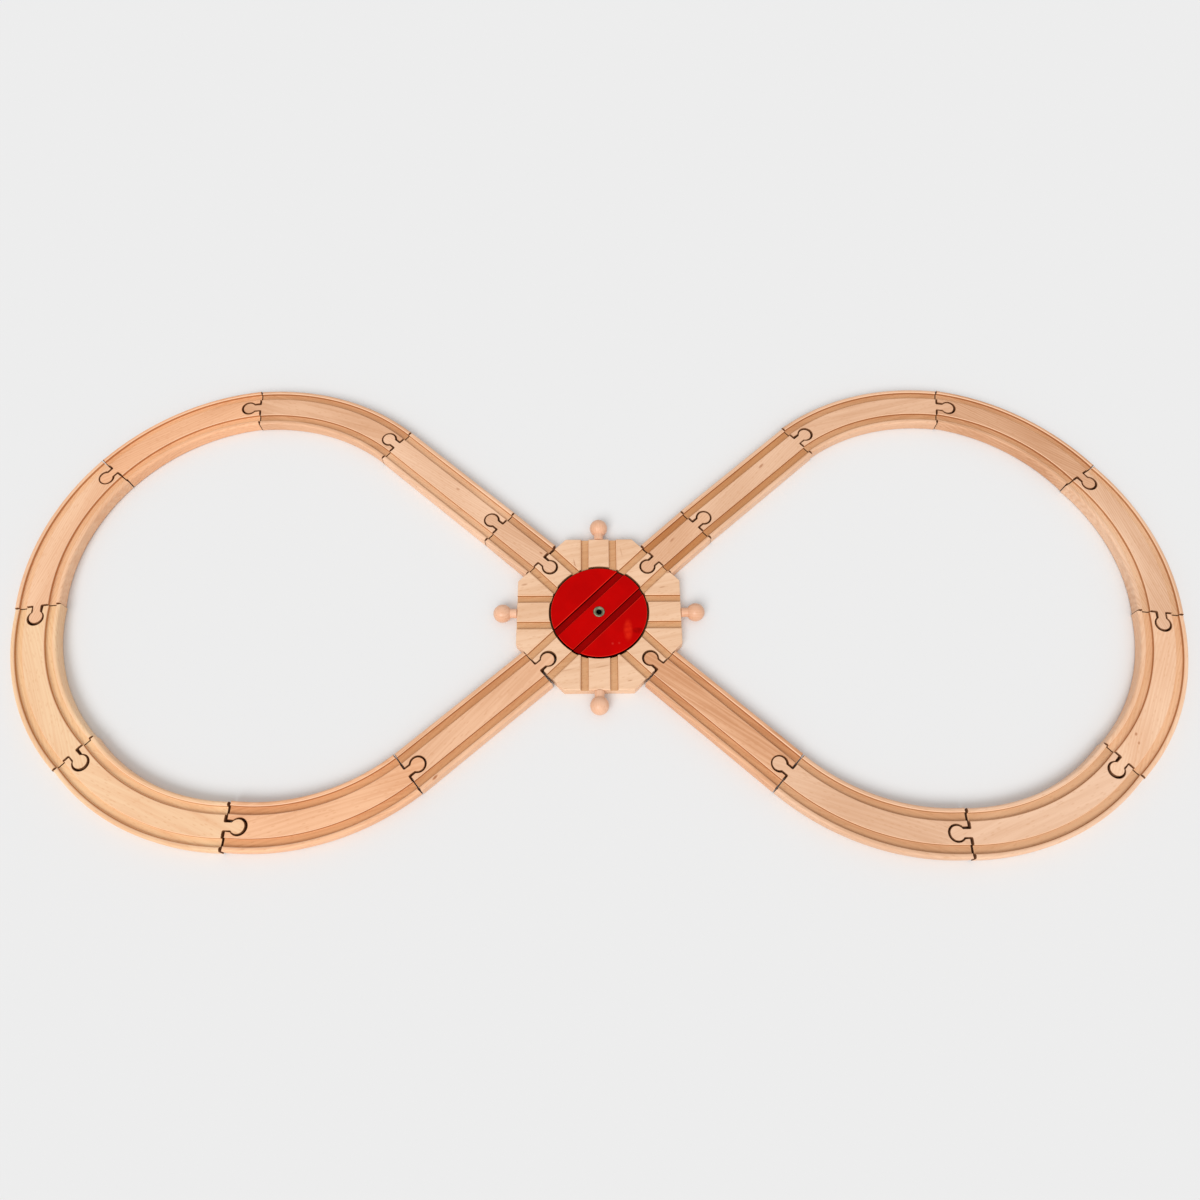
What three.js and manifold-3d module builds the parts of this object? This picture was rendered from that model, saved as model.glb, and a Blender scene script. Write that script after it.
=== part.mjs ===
// Wooden train track laid as a figure of eight that crosses on a turntable.
// Millimetres, +Z up. The origin is the middle of the layout's outline, on the floor.
// +X runs along the layout, and +Y points to the side where the legs of both loops are longer.

import * as THREE from "three";
import { mergeVertices } from "three/addons/utils/BufferGeometryUtils.js";
import Module from "manifold-3d";

const wasm = await Module();
wasm.setup();

// Track section: a centre strip, a groove on each side of it and a rail outside each groove
const CENTRE_WIDTH = 19.2;
const GROOVE_WIDTH = 6.8;
const RAIL_WIDTH = 4.1;
const GROOVE_DEPTH = 3;
const TRACK_THICKNESS = 12;
const EDGE_BEVEL = 1.2;

// Track pieces
const STRAIGHT_LENGTH = 142;
const ADAPTER_LENGTH = 53;
const CURVE_RADIUS = 197;
const CURVES_PER_LOOP = 6;
const CURVE_ANGLE = THREE.MathUtils.degToRad(270 / CURVES_PER_LOOP);
const CURVE_STEPS = 10;

// Flat jigsaw peg, cut from the same board as its track
const PEG_HEAD_RADIUS = 6.3;
const PEG_NECK_WIDTH = 7.2;
const PEG_REACH = 11.5;
const PEG_ROOT = 4;
const PEG_RELIEF = 0.15;

// Least gap between two pieces that meet at a joint, and between parts that are fitted together
const JOINT_CLEARANCE = 0.4;
const FIT_GAP = 0.3;

// How far each joint is turned as the loop lies, in degrees, in order from the upper port round to
// the lower one. Positive turns towards the inside of the loop.
const LEFT_TURNS = [3, 0.5, 0.5, 3, 0.5, -4.5, -4.5, -4.5, 2, 4];
const RIGHT_TURNS = [2, 1.5, 4, 3.5, -3.5, -3.5, -4.5, -2.5, 0, 3];
const CLOSING_ROUNDS = 20;
const TURN_NUDGE = 1e-5;

// Turntable
const DISC_RADIUS = 44.2;
const DISC_THICKNESS = 7;
const DISC_CLEARANCE = 0.6;
const DISC_REST_ANGLE = Math.PI / 4;
const PORT_LENGTH = 30.2;
const PORTS = 8;

// Pivot of the turntable: a hollow rivet closed over a washer under the base
const RIVET_RADIUS = 3.4;
const RIVET_BORE = 2.2;
const RIVET_MOUTH = 3.9;
const RIVET_FLANGE_WIDTH = 1.8;
const RIVET_FLANGE_THICKNESS = 0.9;
const RIVET_FLARE_WIDTH = 1.4;
const RIVET_FLARE_THICKNESS = 0.7;
const WASHER_WIDTH = 3.4;
const WASHER_THICKNESS = 1;

// Turned ball pegs in the free sides of the turntable
const BALL_RADIUS = 8.4;
const BALL_FLOOR_GAP = 0.1;
const BALL_NECK_RADIUS = 4.4;
const BALL_NECK_LENGTH = 6;
const TENON_RADIUS = 1.9;
const TENON_LENGTH = 14;

// Facets
const ROUND_SEGMENTS = 64;
const SMALL_SEGMENTS = 24;
const JIGSAW_SEGMENTS = 10;
const BALL_SEGMENTS = 5;
const CUT_OVERRUN = 5;
const MERGE_TOLERANCE = 1e-5;

// Sizes that follow from those above
const GROOVE_OFFSET = (CENTRE_WIDTH + GROOVE_WIDTH) / 2;
const TRACK_WIDTH = CENTRE_WIDTH + 2 * (GROOVE_WIDTH + RAIL_WIDTH);
const POCKET_RADIUS = DISC_RADIUS + DISC_CLEARANCE;
const PORT_DISTANCE = POCKET_RADIUS + PORT_LENGTH;
const UPPER_PORT = THREE.MathUtils.degToRad(135);
const LOWER_PORT = THREE.MathUtils.degToRad(225);

const BEECH = new THREE.MeshStandardMaterial({ color: 0xe3b685, roughness: 0.5, metalness: 0 });
const PALE_BEECH = new THREE.MeshStandardMaterial({ color: 0xe9c79c, roughness: 0.5, metalness: 0 });
const PEG_WOOD = new THREE.MeshStandardMaterial({ color: 0xd9a680, roughness: 0.5, metalness: 0 });
const RED_LACQUER = new THREE.MeshStandardMaterial({ color: 0xc00404, roughness: 0.25, metalness: 0 });
const BRASS = new THREE.MeshStandardMaterial({ color: 0x8f8a68, roughness: 0.4, metalness: 1 });

// Solids for cutting and joining

function toSolid(geometry) {
  const bare = geometry.clone();
  bare.deleteAttribute("normal");
  bare.deleteAttribute("uv");
  const merged = mergeVertices(bare, MERGE_TOLERANCE);
  return new wasm.Manifold(
    new wasm.Mesh({
      numProp: 3,
      vertProperties: new Float32Array(merged.attributes.position.array),
      triVerts: new Uint32Array(merged.index.array),
    }),
  );
}

function toGeometry(solid) {
  const { vertProperties, triVerts } = solid.getMesh();
  const geometry = new THREE.BufferGeometry();
  geometry.setAttribute("position", new THREE.BufferAttribute(new Float32Array(vertProperties), 3));
  geometry.setIndex(new THREE.BufferAttribute(new Uint32Array(triVerts), 1));
  geometry.computeVertexNormals();
  return geometry;
}

function cutAll(geometry, cutters) {
  const solid = cutters.reduce((left, cutter) => left.subtract(toSolid(cutter)), toSolid(geometry));
  return toGeometry(solid);
}

// An upright cylinder between two heights
function cylinder(radius, low, high, segments) {
  const geometry = new THREE.CylinderGeometry(radius, radius, high - low, segments);
  return geometry.rotateX(Math.PI / 2).translate(0, 0, (low + high) / 2);
}

// A box along X, centred across on y, between two heights
function slot(length, width, y, low, high) {
  return new THREE.BoxGeometry(length, width, high - low).translate(0, y, (low + high) / 2);
}

function plate(shape, low, high) {
  const options = { depth: high - low, bevelEnabled: false, curveSegments: JIGSAW_SEGMENTS };
  return new THREE.ExtrudeGeometry(shape, options).translate(0, 0, low);
}

// Laying the loops. A loop is walked in the plane from the upper port round to the lower one, as the
// left loop lies. A joint pivots on its peg's head, and opens so that the turned corners stay apart.

const along = (angle) => new THREE.Vector2(Math.cos(angle), Math.sin(angle));
const jointGap = (turn) => JOINT_CLEARANCE + (TRACK_WIDTH / 2) * Math.sin(Math.abs(turn));
const pegDepth = (turn) => PEG_REACH - jointGap(turn);

// Where a piece ends, and which way it then points
function endOf(piece) {
  if (piece.kind !== "curve") {
    const end = piece.start.clone().addScaledVector(along(piece.heading), piece.length);
    return { end, heading: piece.heading };
  }
  const heading = piece.heading + CURVE_ANGLE;
  const centre = piece.start.clone().addScaledVector(along(piece.heading + Math.PI / 2), CURVE_RADIUS);
  return { end: centre.addScaledVector(along(heading - Math.PI / 2), CURVE_RADIUS), heading };
}

function loopPlan() {
  const curves = Array.from({ length: CURVES_PER_LOOP }, (_, n) => ({
    name: `curve_${n + 1}`,
    kind: "curve",
  }));
  return [
    { name: "adapter", kind: "adapter", length: ADAPTER_LENGTH },
    { name: "top_straight", kind: "straight", length: STRAIGHT_LENGTH },
    ...curves,
    { name: "bottom_straight", kind: "straight", length: STRAIGHT_LENGTH },
  ];
}

function walkLoop(turns) {
  const pieces = loopPlan();
  const portHead = along(UPPER_PORT).multiplyScalar(PORT_DISTANCE - pegDepth(turns[0]));
  let heading = UPPER_PORT + turns[0];
  let start = portHead.addScaledVector(along(heading), PEG_REACH);
  pieces.forEach((piece, n) => {
    Object.assign(piece, { start, heading });
    const reached = endOf(piece);
    const head = reached.end.addScaledVector(along(reached.heading), PEG_REACH);
    piece.head = head;
    const turn = turns[n + 1];
    heading = reached.heading + turn;
    start = head.clone().addScaledVector(along(heading), -pegDepth(turn));
  });
  return pieces;
}

// How far the last peg's head misses the lower port's socket, and the heading left over there
function closingError(turns) {
  const pieces = walkLoop(turns);
  const lastTurn = turns[pieces.length];
  const last = pieces[pieces.length - 1];
  const socket = along(LOWER_PORT).multiplyScalar(PORT_DISTANCE - pegDepth(lastTurn));
  const miss = last.head.clone().sub(socket);
  const inward = LOWER_PORT + Math.PI;
  return new THREE.Vector3(miss.x, miss.y, last.heading + lastTurn - inward);
}

// The least change of the laid turns that closes the loop on the lower port
function closeLoop(laidTurns) {
  let turns = laidTurns.map(THREE.MathUtils.degToRad);
  for (let round = 0; round < CLOSING_ROUNDS; round += 1) {
    const miss = closingError(turns);
    const slopes = turns.map((turn, n) => {
      const nudged = turns.with(n, turn + TURN_NUDGE);
      return closingError(nudged).sub(miss).divideScalar(TURN_NUDGE);
    });
    const entry = (row, column) =>
      slopes.reduce((sum, slope) => sum + slope.getComponent(row) * slope.getComponent(column), 0);
    const entries = [0, 1, 2].flatMap((row) => [0, 1, 2].map((column) => entry(row, column)));
    const square = new THREE.Matrix3().set(...entries);
    const pull = miss.applyMatrix3(square.invert());
    turns = turns.map((turn, n) => turn - slopes[n].dot(pull));
  }
  return turns;
}

const leftTurns = closeLoop(LEFT_TURNS);
const rightTurns = closeLoop(RIGHT_TURNS);

// Socket that holds a peg at every joint of both loops, from the tightest gap to the widest
const WIDEST_TURN = Math.max(...[...leftTurns, ...rightTurns].map(Math.abs));
const SOCKET_PLAY = (jointGap(WIDEST_TURN) - JOINT_CLEARANCE) / 2;
const SOCKET_RADIUS = PEG_HEAD_RADIUS + JOINT_CLEARANCE + SOCKET_PLAY;
const SOCKET_DEPTH = PEG_REACH - JOINT_CLEARANCE - SOCKET_PLAY;
const MOUTH_SWING = SOCKET_DEPTH * Math.tan(WIDEST_TURN) + JOINT_CLEARANCE;
const MOUTH_WIDTH = PEG_NECK_WIDTH / Math.cos(WIDEST_TURN) + 2 * MOUTH_SWING;

// Track pieces, in their own frame: the start face at the origin, running along +X on the floor

// Outline of a neck and a round head along +X, from root behind the face to the head at reach
function jigsawShape(neckWidth, headRadius, reach, root) {
  const half = neckWidth / 2;
  const meet = Math.PI - Math.asin(half / headRadius);
  const shape = new THREE.Shape();
  shape.moveTo(-root, -half);
  shape.lineTo(reach + headRadius * Math.cos(meet), -half);
  shape.absarc(reach, 0, headRadius, -meet, meet, false);
  shape.lineTo(-root, half);
  shape.closePath();
  return shape;
}

function pegGeometry() {
  const shape = jigsawShape(PEG_NECK_WIDTH, PEG_HEAD_RADIUS, PEG_REACH, PEG_ROOT);
  return plate(shape, PEG_RELIEF, TRACK_THICKNESS - PEG_RELIEF);
}

function socketCutter() {
  const shape = jigsawShape(MOUTH_WIDTH, SOCKET_RADIUS, SOCKET_DEPTH, CUT_OVERRUN);
  return plate(shape, -CUT_OVERRUN, TRACK_THICKNESS + CUT_OVERRUN);
}

// Section of a track, grooved on both faces. A swept section's x points down and its y to the left.
function trackSection() {
  const half = TRACK_WIDTH / 2;
  const inner = GROOVE_OFFSET - GROOVE_WIDTH / 2;
  const outer = GROOVE_OFFSET + GROOVE_WIDTH / 2;
  const quarter = [
    [inner, 0],
    [inner, GROOVE_DEPTH],
    [outer, GROOVE_DEPTH],
    [outer, 0],
    [half - EDGE_BEVEL, 0],
    [half, EDGE_BEVEL],
  ];
  const mirrored = quarter.toReversed();
  const outline = [
    ...quarter,
    ...mirrored.map(([y, z]) => [y, TRACK_THICKNESS - z]),
    ...quarter.map(([y, z]) => [-y, TRACK_THICKNESS - z]),
    ...mirrored.map(([y, z]) => [-y, z]),
  ];
  return new THREE.Shape(outline.map(([y, z]) => new THREE.Vector2(-z, y)));
}

class TrackArc extends THREE.Curve {
  constructor(side) {
    super();
    this.side = side;
  }

  getPoint(t, target = new THREE.Vector3()) {
    const angle = CURVE_ANGLE * t;
    const across = this.side * CURVE_RADIUS * (1 - Math.cos(angle));
    return target.set(CURVE_RADIUS * Math.sin(angle), across, 0);
  }
}

// One track piece. side is 1 where a curve turns left and -1 where it turns right.
function trackGeometry(piece, side) {
  const curved = piece.kind === "curve";
  const path = curved
    ? new TrackArc(side)
    : new THREE.LineCurve3(new THREE.Vector3(), new THREE.Vector3(piece.length, 0, 0));
  const steps = curved ? CURVE_STEPS : 1;
  const board = new THREE.ExtrudeGeometry(trackSection(), { extrudePath: path, steps });
  const end = path.getPoint(1);
  const endPeg = pegGeometry().rotateZ(curved ? side * CURVE_ANGLE : 0).translate(end.x, end.y, 0);
  const solid = toSolid(board).add(toSolid(endPeg));
  if (piece.kind === "adapter") {
    return toGeometry(solid.add(toSolid(pegGeometry().rotateZ(Math.PI))));
  }
  return toGeometry(solid.subtract(toSolid(socketCutter())));
}

function buildLoop(prefix, turns, side) {
  const group = new THREE.Group();
  walkLoop(turns).forEach((piece) => {
    const mesh = new THREE.Mesh(trackGeometry(piece, side), BEECH);
    mesh.name = `${prefix}_${piece.name}`;
    mesh.position.set(side * piece.start.x, piece.start.y, 0);
    mesh.rotation.z = side > 0 ? piece.heading : Math.PI - piece.heading;
    group.add(mesh);
  });
  return group;
}

// Turntable heights, worked out from the top down to the floor and from the floor up
const DISC_BOTTOM = TRACK_THICKNESS - DISC_THICKNESS;
const POCKET_FLOOR = DISC_BOTTOM - FIT_GAP;
const FLANGE_BOTTOM = TRACK_THICKNESS - RIVET_FLANGE_THICKNESS;
const FLANGE_RADIUS = RIVET_RADIUS + RIVET_FLANGE_WIDTH;
const FLARE_TOP = FIT_GAP + RIVET_FLARE_THICKNESS;
const WASHER_BOTTOM = FLARE_TOP + FIT_GAP;
const WASHER_TOP = WASHER_BOTTOM + WASHER_THICKNESS;
const PIVOT_HOLE = RIVET_RADIUS + FIT_GAP;
const WASHER_RADIUS = PIVOT_HOLE + WASHER_WIDTH;
const TENON_HOLE = TENON_RADIUS + FIT_GAP;
const BALL_CENTRE = BALL_RADIUS + BALL_FLOOR_GAP;

const portAngle = (n) => (n * 2 * Math.PI) / PORTS;

// Twin grooves from side to side through the middle
function grooveCutters(angle) {
  const length = 2 * (PORT_DISTANCE + CUT_OVERRUN);
  const low = TRACK_THICKNESS - GROOVE_DEPTH;
  const high = TRACK_THICKNESS + CUT_OVERRUN;
  return [-1, 1].map((hand) => slot(length, GROOVE_WIDTH, hand * GROOVE_OFFSET, low, high).rotateZ(angle));
}

// Eight-sided block with eased edges
function baseBlock() {
  const corner = PORT_DISTANCE / Math.cos(Math.PI / PORTS);
  const corners = Array.from({ length: PORTS }, (_, n) =>
    along(portAngle(n + 0.5)).multiplyScalar(corner),
  );
  const block = new THREE.ExtrudeGeometry(new THREE.Shape(corners), {
    depth: TRACK_THICKNESS - 2 * EDGE_BEVEL,
    bevelThickness: EDGE_BEVEL,
    bevelSize: EDGE_BEVEL,
    bevelOffset: -EDGE_BEVEL,
    bevelSegments: 1,
  });
  return block.translate(0, 0, EDGE_BEVEL);
}

function baseGeometry() {
  const ports = Array.from({ length: PORTS }, (_, n) => n);
  const grooves = ports.slice(0, PORTS / 2).flatMap((n) => grooveCutters(portAngle(n)));
  const sockets = ports
    .filter((n) => n % 2 === 1)
    .map((n) => socketCutter().rotateZ(Math.PI).translate(PORT_DISTANCE, 0, 0).rotateZ(portAngle(n)));
  const tenonHoles = ports
    .filter((n) => n % 2 === 0)
    .map((n) => tenonHole().rotateZ(portAngle(n)));
  return cutAll(baseBlock(), [
    cylinder(POCKET_RADIUS, POCKET_FLOOR, TRACK_THICKNESS + CUT_OVERRUN, ROUND_SEGMENTS),
    cylinder(PIVOT_HOLE, -CUT_OVERRUN, TRACK_THICKNESS, SMALL_SEGMENTS),
    cylinder(WASHER_RADIUS + FIT_GAP, -CUT_OVERRUN, WASHER_TOP + FIT_GAP, SMALL_SEGMENTS),
    ...grooves,
    ...sockets,
    ...tenonHoles,
  ]);
}

// A blind hole for a ball peg's tenon, in the side that faces +X
function tenonHole() {
  const depth = TENON_LENGTH + FIT_GAP;
  const hole = new THREE.CylinderGeometry(TENON_HOLE, TENON_HOLE, depth + CUT_OVERRUN, SMALL_SEGMENTS);
  const middle = PORT_DISTANCE + (CUT_OVERRUN - depth) / 2;
  return hole.rotateZ(Math.PI / 2).translate(middle, 0, BALL_CENTRE);
}

function discGeometry() {
  const above = TRACK_THICKNESS + CUT_OVERRUN;
  return cutAll(cylinder(DISC_RADIUS, DISC_BOTTOM, TRACK_THICKNESS, ROUND_SEGMENTS), [
    cylinder(PIVOT_HOLE, 0, above, SMALL_SEGMENTS),
    cylinder(FLANGE_RADIUS + FIT_GAP, FLANGE_BOTTOM - FIT_GAP, above, SMALL_SEGMENTS),
    ...grooveCutters(0),
  ]);
}

// A ring turned about Z from a closed outline of radius and height
function turnedRing(outline) {
  const points = [...outline, outline[0]].map(([radius, height]) => new THREE.Vector2(radius, height));
  return new THREE.LatheGeometry(points, SMALL_SEGMENTS).rotateX(Math.PI / 2);
}

function rivetGeometry() {
  const flareRadius = RIVET_RADIUS + RIVET_FLARE_WIDTH;
  return turnedRing([
    [RIVET_BORE, FIT_GAP],
    [flareRadius, FIT_GAP],
    [flareRadius, FLARE_TOP],
    [RIVET_RADIUS, FLARE_TOP],
    [RIVET_RADIUS, FLANGE_BOTTOM],
    [FLANGE_RADIUS, FLANGE_BOTTOM],
    [FLANGE_RADIUS, TRACK_THICKNESS],
    [RIVET_MOUTH, TRACK_THICKNESS],
    [RIVET_BORE, FLANGE_BOTTOM],
  ]);
}

function washerGeometry() {
  return turnedRing([
    [PIVOT_HOLE, WASHER_BOTTOM],
    [WASHER_RADIUS, WASHER_BOTTOM],
    [WASHER_RADIUS, WASHER_TOP],
    [PIVOT_HOLE, WASHER_TOP],
  ]);
}

// Ball peg turned about +Y, with the side of the base at y = 0: a tenon, a shoulder, a neck and a ball
function ballPegGeometry() {
  const meet = Math.asin(BALL_NECK_RADIUS / BALL_RADIUS);
  const centre = FIT_GAP + BALL_NECK_LENGTH + BALL_RADIUS * Math.cos(meet);
  const ball = new THREE.Path();
  ball.absarc(0, centre, BALL_RADIUS, meet - Math.PI / 2, Math.PI / 2, false);
  const round = ball.getPoints(BALL_SEGMENTS).slice(0, -1);
  const profile = [
    new THREE.Vector2(0, -TENON_LENGTH),
    new THREE.Vector2(TENON_RADIUS, -TENON_LENGTH),
    new THREE.Vector2(TENON_RADIUS, FIT_GAP),
    new THREE.Vector2(BALL_NECK_RADIUS, FIT_GAP),
    ...round,
    new THREE.Vector2(0, centre + BALL_RADIUS),
  ];
  return new THREE.LatheGeometry(profile, SMALL_SEGMENTS);
}

function buildTurntable() {
  const group = new THREE.Group();
  const add = (name, geometry, material) => {
    const mesh = new THREE.Mesh(geometry, material);
    mesh.name = name;
    group.add(mesh);
    return mesh;
  };
  add("turntable_base", baseGeometry(), PALE_BEECH);
  add("turntable_disc", discGeometry(), RED_LACQUER).rotation.z = DISC_REST_ANGLE;
  add("pivot_rivet", rivetGeometry(), BRASS);
  add("pivot_washer", washerGeometry(), BRASS);
  ["east", "north", "west", "south"].forEach((name, n) => {
    const angle = portAngle(2 * n);
    const peg = add(`connector_peg_${name}`, ballPegGeometry(), PEG_WOOD);
    peg.position.set(PORT_DISTANCE * Math.cos(angle), PORT_DISTANCE * Math.sin(angle), BALL_CENTRE);
    peg.rotation.z = angle - Math.PI / 2;
  });
  return group;
}

const layout = new THREE.Group();
layout.add(buildTurntable());
layout.add(buildLoop("left", leftTurns, 1));
layout.add(buildLoop("right", rightTurns, -1));

// The layout's outline is centred on the origin
const middle = new THREE.Box3().setFromObject(layout, true).getCenter(new THREE.Vector3());
layout.position.set(-middle.x, -middle.y, 0);

const trainTrack = new THREE.Group();
trainTrack.add(layout);

export default trainTrack;
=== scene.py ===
"""Looks of the wooden train track: boards with eased edges and beech grain, and the lacquered turntable."""

import math

import bmesh
import bpy
from mathutils import Matrix, Vector


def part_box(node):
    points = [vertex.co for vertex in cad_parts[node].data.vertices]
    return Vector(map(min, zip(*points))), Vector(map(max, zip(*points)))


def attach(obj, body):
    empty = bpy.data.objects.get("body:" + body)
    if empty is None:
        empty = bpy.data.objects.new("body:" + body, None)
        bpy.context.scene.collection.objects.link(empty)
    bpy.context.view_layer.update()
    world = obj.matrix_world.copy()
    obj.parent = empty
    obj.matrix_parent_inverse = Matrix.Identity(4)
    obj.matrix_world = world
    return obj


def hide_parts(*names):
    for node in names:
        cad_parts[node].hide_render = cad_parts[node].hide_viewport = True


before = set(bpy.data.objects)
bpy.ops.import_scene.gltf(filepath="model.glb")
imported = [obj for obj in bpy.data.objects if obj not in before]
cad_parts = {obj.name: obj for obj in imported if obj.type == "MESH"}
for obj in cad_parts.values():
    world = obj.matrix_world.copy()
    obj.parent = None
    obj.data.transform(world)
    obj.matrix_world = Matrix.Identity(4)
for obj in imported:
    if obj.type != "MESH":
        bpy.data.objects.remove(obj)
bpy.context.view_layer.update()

MM = 0.001

# Sizes of the solids that the boards follow
TRACK_WIDTH = 41 * MM
THICKNESS = 12 * MM
WALL_TOP = 10.8 * MM
GROOVE_OFFSET = 13 * MM
GROOVE_WIDTH = 6.8 * MM
GROOVE_DEPTH = 3 * MM
CURVE_ANGLE = math.radians(45)
PEG_NECK = 7.2 * MM
PEG_HEAD = 6.3 * MM
PEG_REACH = 11.5 * MM
SOCKET_MOUTH = 9.3 * MM
SOCKET_HEAD = 7.25 * MM
SOCKET_REACH = 10.5 * MM

# Sizes of the turntable's solids
PORTS = 8
PORT_DISTANCE = 75 * MM
POCKET_RADIUS = 45.6 * MM
POCKET_FLOOR = 4.7 * MM
DISC_RADIUS = 43.9 * MM
DISC_BOTTOM = 5 * MM
DISC_ANGLE = math.radians(45)
PIVOT_HOLE = 3.7 * MM
RIVET_RECESS = 5.5 * MM
RIVET_SEAT = 10.8 * MM
WASHER_RECESS = 7.4 * MM
WASHER_SEAT = 2.6 * MM
TENON_HOLE = 2.2 * MM
TENON_DEPTH = 14.3 * MM
BALL_HEIGHT = 8.5 * MM

# Floors of the grooves in the two faces of a board, and the way they open
TOP_FACE = ((THICKNESS - GROOVE_DEPTH, 1),)
BOTH_FACES = TOP_FACE + ((GROOVE_DEPTH, -1),)

# Easing of edges, and the even gap that is left where two boards meet
LONG_EASE = 2 * MM
BASE_EASE = 1.4 * MM
END_EASE = 0.5 * MM
RAIL_LIP = 1.2 * MM
STRIP_LIP = 0.7 * MM
FLOOR_EASE = 1 * MM
PLAN_EASE = 0.9 * MM
DISC_EASE = 0.5 * MM
FACE_GAP = 1.1 * MM
WIDE_GAPS = {"left_curve_6": 2 * MM, "right_curve_6": 1.9 * MM}
FACE_FADE = 5 * MM

# Facets and cutting
EASE_STEPS = 3
CURVE_STEPS = 60
JIGSAW_STEPS = 22
ROUND_STEPS = 128
PLAN_STEPS = 3
OVERRUN = 4 * MM
LIP_LIFT = 0.02 * MM
SLIVER = 0.001 * MM
SHARP_ANGLE = math.radians(34)
NEARLY_STRAIGHT = 0.02
WALL_TOLERANCE = 0.05 * MM
PEG_TOLERANCE = 0.5 * MM
CORNER_TURN = math.radians(20)
CORNER_ROOM = 0.45
ON_AXIS = 1e-9

# Materials of a wooden piece, by index, and how rough each is
FACE, MILLED, SAWN = 0, 1, 2
FACE_ROUGH = 0.45
MILLED_ROUGH = 0.55
SAWN_ROUGH = 0.8

# Where a rounded edge counts as a lip, for a painted highlight: its height, and how level it is
LIP_HEIGHTS = (THICKNESS - 0.8 * MM, THICKNESS - 0.4 * MM)
LIP_SLOPES = (0.998, 0.95)


# Plans and outlines

def arc(centre, radius, start, end, steps):
    """Points on an arc between two angles."""
    angles = [start + (end - start) * n / steps for n in range(steps + 1)]
    return [Vector((centre[0] + radius * math.cos(a), centre[1] + radius * math.sin(a))) for a in angles]


def soften(corners):
    """Rounds the corners of a line in plan, apart from its two ends."""
    made = [corners[0]]
    for before, here, after in zip(corners, corners[1:], corners[2:]):
        back, ahead = before - here, after - here
        turn = math.pi - back.angle(ahead)
        if turn < CORNER_TURN:
            made.append(here)
            continue
        room = CORNER_ROOM * min(back.length, ahead.length)
        cut = min(PLAN_EASE * math.tan(turn / 2), room)
        first, last = here + back.normalized() * cut, here + ahead.normalized() * cut
        for n in range(PLAN_STEPS + 1):
            t = n / PLAN_STEPS
            made.append(first * (1 - t) ** 2 + here * (2 * t * (1 - t)) + last * t ** 2)
    return made + [corners[-1]]


def jigsaw(neck, head, reach):
    """A neck and a round head along +X, from the lower side of the neck round to the upper one."""
    half = neck / 2
    meet = math.pi - math.asin(half / head)
    return [Vector((0, -half)), *arc((reach, 0), head, -meet, meet, JIGSAW_STEPS), Vector((0, half))]


def end_line(points, half_width):
    """An end face with its peg or socket, between its two corners."""
    return soften([Vector((0, -half_width)), *points, Vector((0, half_width))])


def placed(points, at, angle):
    turn = Matrix.Rotation(angle, 2)
    return [at + turn @ p for p in points]


# Meshes

def to_object(name, bm, materials):
    bmesh.ops.recalc_face_normals(bm, faces=bm.faces)
    mesh = bpy.data.meshes.new(name)
    bm.to_mesh(mesh)
    bm.free()
    for material in materials:
        mesh.materials.append(material)
    made = bpy.data.objects.new(name, mesh)
    bpy.context.scene.collection.objects.link(made)
    return made


def skin(bm, rings, tints=None):
    """Quads between rings of vertices that follow each other, and a face on each end."""
    for low, high in zip(rings, rings[1:]):
        for n in range(len(low)):
            m = (n + 1) % len(low)
            side = bm.faces.new((low[n], low[m], high[m], high[n]))
            side.material_index = tints[n] if tints else FACE
    bm.faces.new(list(reversed(rings[0])))
    bm.faces.new(rings[-1])


def inward(before, after, ease_before, ease_after):
    """How far a corner moves when both of its edges move inwards by their easing."""
    cross = before.x * after.y - before.y * after.x
    if abs(cross) < NEARLY_STRAIGHT:
        return (before + after).normalized() * (ease_before + ease_after) / 2
    x = (ease_before * after.y - ease_after * before.y) / cross
    y = (before.x * ease_after - after.x * ease_before) / cross
    return Vector((x, y))


def slab(outline, low, high):
    """A plate with rounded edges.
    The outline lists points, each with the easing and the material of the edge after it."""
    points, eases, tints = zip(*outline)
    normals = []
    for here, there in zip(points, points[1:] + points[:1]):
        way = (there - here).normalized()
        normals.append(Vector((way.y, -way.x)))
    shifts = [inward(normals[n - 1], normals[n], eases[n - 1], eases[n]) for n in range(len(points))]
    drops = [(eases[n - 1] + eases[n]) / 2 for n in range(len(points))]
    bm = bmesh.new()

    def ring(bend, level, up):
        made = []
        for p, shift, drop in zip(points, shifts, drops):
            flat = p - shift * (1 - math.cos(bend))
            made.append(bm.verts.new((flat.x, flat.y, level - up * drop * (1 - math.sin(bend)))))
        return made

    bends = [math.pi / 2 * n / EASE_STEPS for n in range(EASE_STEPS + 1)]
    rings = [ring(b, low, -1) for b in reversed(bends)] + [ring(b, high, 1) for b in bends]
    skin(bm, rings, tints)
    return bm


def sweep(stations, profile):
    """A profile of (left, height) carried along stations of a point and its left-hand direction."""
    bm = bmesh.new()
    rings = []
    for point, left in stations:
        spots = [(point + left * across, height) for across, height in profile]
        rings.append([bm.verts.new((p.x, p.y, z)) for p, z in spots])
    skin(bm, rings)
    return bm


def turned(profile, steps=ROUND_STEPS):
    """A closed profile of (radius, height) turned about Z. Points on the axis become single vertices."""
    bm = bmesh.new()
    rows = []
    for radius, height in profile:
        if radius < ON_AXIS:
            rows.append([bm.verts.new((0, 0, height))] * steps)
            continue
        spin = [2 * math.pi * n / steps for n in range(steps)]
        rows.append([bm.verts.new((radius * math.cos(a), radius * math.sin(a), height)) for a in spin])
    for low, high in zip(rows, rows[1:] + rows[:1]):
        for n in range(steps):
            m = (n + 1) % steps
            corners = list(dict.fromkeys((low[n], low[m], high[m], high[n])))
            if len(corners) > 2:
                bm.faces.new(corners)
    return bm


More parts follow.
